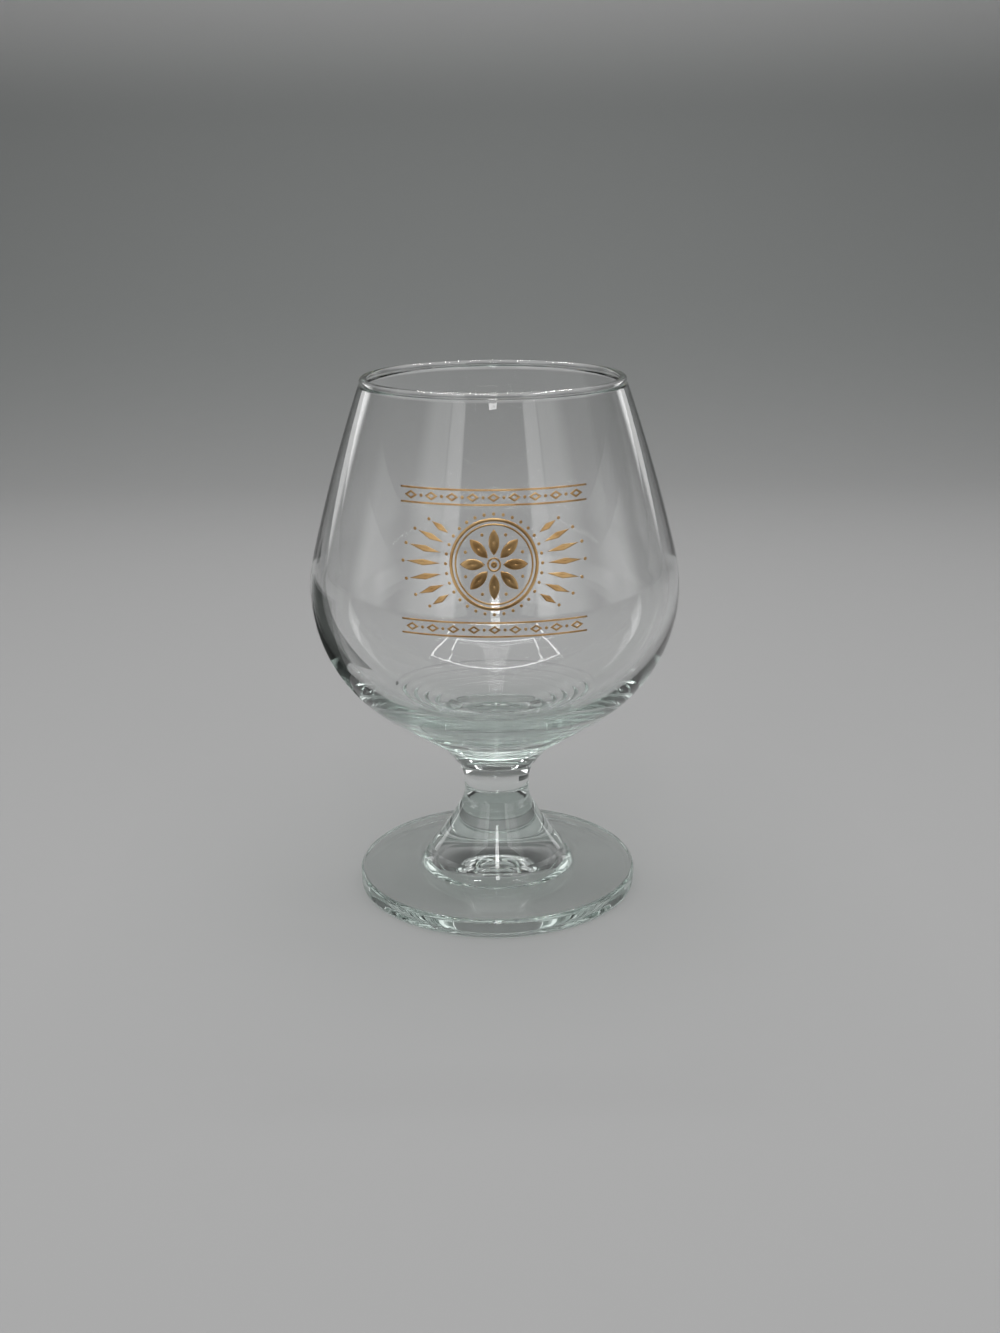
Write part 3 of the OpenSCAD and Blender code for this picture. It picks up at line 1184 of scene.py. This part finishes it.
    def strip_lamps(self) -> None:
        """Adds four narrow lamps in a frame above the glass."""
        middle = sum(self.frame_y) / 2.0
        long = self.frame_y[1] - self.frame_y[0]
        across, along = (2.0 * self.frame_reach, self.strip_wide), (self.strip_wide, long)
        strips = {
            "strip_across_1": (0.0, self.frame_y[0], across),
            "strip_across_2": (0.0, self.frame_y[1], across),
            "strip_along_1": (-self.frame_reach, middle, along),
            "strip_along_2": (self.frame_reach, middle, along),
        }
        for name, (x, y, size) in strips.items():
            self.softbox(name, (x, y, self.frame_z), (x, y, 0.0), size, self.strip_glow)

    def painted_shade_card(self) -> Any:
        """A black card of painted shade on the floor, behind the glass and to its left: part of a flat ring
        about the glass.

        x is the reach times the bearing's sine, and y is minus the reach times its cosine. Only rays that the
        glass or the gold bends or mirrors see the card, and it paints shade on the bowl's left edge.

        Returns:
            The card.
        """
        a = np.radians(np.linspace(*self.card_bearings, self.card_steps))
        rim = np.stack([np.sin(a), -np.cos(a), np.zeros_like(a)], axis=-1)
        points = np.concatenate([reach * rim for reach in self.card_reach]) + [0.0, 0.0, self.card_lift]
        i = np.arange(len(a) - 1)
        quads = np.stack([i, i + len(a), i + len(a) + 1, i + 1], axis=-1)
        card = new_mesh_object("painted_shade_card", points, quads)
        card.data.materials.append(PaintedShadeCard().material())
        # unseen by the camera, shadows and bounced light: the card only paints shade in the glass
        card.visible_camera = card.visible_shadow = card.visible_diffuse = False
        return card

    @staticmethod
    def facing(away: np.ndarray) -> Matrix:
        """The turn that points local -Z against a given direction, with local Y as upright as it can be.

        Args:
            away: The direction from what is faced to the thing that faces it.

        Returns:
            The turn.
        """
        z = away / np.linalg.norm(away)
        steep = abs(z[2]) > STEEP
        up = np.array([0.0, 1.0, 0.0]) if steep else np.array([0.0, 0.0, 1.0])
        x = np.cross(up, z)
        x /= np.linalg.norm(x)
        return Matrix(np.stack([x, np.cross(z, x), z], axis=1).tolist())

    def camera(self) -> None:
        """Adds the camera at the photograph's place: a look along +Y, pitched down and rolled a little."""
        data = bpy.data.cameras.new("camera")
        data.sensor_fit, data.sensor_width = "AUTO", self.sensor
        data.lens = self.focal_px / self.photo_long * self.sensor
        data.clip_start, data.clip_end = self.clip
        eye = bpy.data.objects.new("camera", data)
        bpy.context.scene.collection.objects.link(eye)
        pitch = Matrix.Rotation(math.radians(90.0 - self.camera_pitch), 4, "X")
        roll = Matrix.Rotation(math.radians(self.camera_roll), 4, "Z")
        eye.matrix_world = Matrix.Translation(self.camera_place) @ pitch @ roll
        bpy.context.scene.camera = eye

    def world(self) -> None:
        """Lights the room with a faint even grey, which the camera alone sees as pale past the sweep."""
        world = bpy.data.worlds.new("room")
        world.use_nodes = True
        back = world.node_tree.nodes["Background"]
        back.inputs["Color"].default_value = WHITE
        rays = world.node_tree.nodes.new("ShaderNodeLightPath")
        seen = world.node_tree.nodes.new("ShaderNodeMapRange")
        seen.inputs["To Min"].default_value = self.room
        seen.inputs["To Max"].default_value = self.room_seen
        world.node_tree.links.new(rays.outputs["Is Camera Ray"], seen.inputs["Value"])
        world.node_tree.links.new(seen.outputs["Result"], back.inputs["Strength"])
        bpy.context.scene.world = world

    def build(self) -> None:
        """Sets up the whole studio."""
        self.sweep()
        above, below = (0.0, self.ceiling_y, self.ceiling_z), (0.0, self.ceiling_y, 0.0)
        self.softbox("ceiling", above, below, self.ceiling_size, self.ceiling_glow)
        self.softbox("front", self.front_lamp, (0.0, 0.0, 0.0), self.front_size, self.front_glow)
        self.strip_lamps()
        # painted shade: a black card that only the glass and the gold see
        self.painted_shade_card()
        self.tent("tent_front", self.front_height, self.front_stops)
        self.tent("tent_side", self.side_height, self.side_stops)
        self.camera()
        self.world()
        scene = bpy.context.scene
        scene.view_settings.view_transform = "Standard"
        cycles = scene.cycles
        cycles.caustics_refractive = cycles.caustics_reflective = False
        cycles.max_bounces, cycles.transmission_bounces, cycles.glossy_bounces = self.bounces


def main() -> None:
    """Builds the studio, the glass and its print, and reports each piece."""
    logging.basicConfig(level=logging.INFO, format="%(name)s: %(message)s")
    Studio().build()
    glass = BlownGlass()
    for piece in [glass.build(), *GoldPrint(glass).build()]:
        LOG.info("%s: %d faces", piece.name, len(piece.data.polygons))


if __name__ == "__main__":
    main()
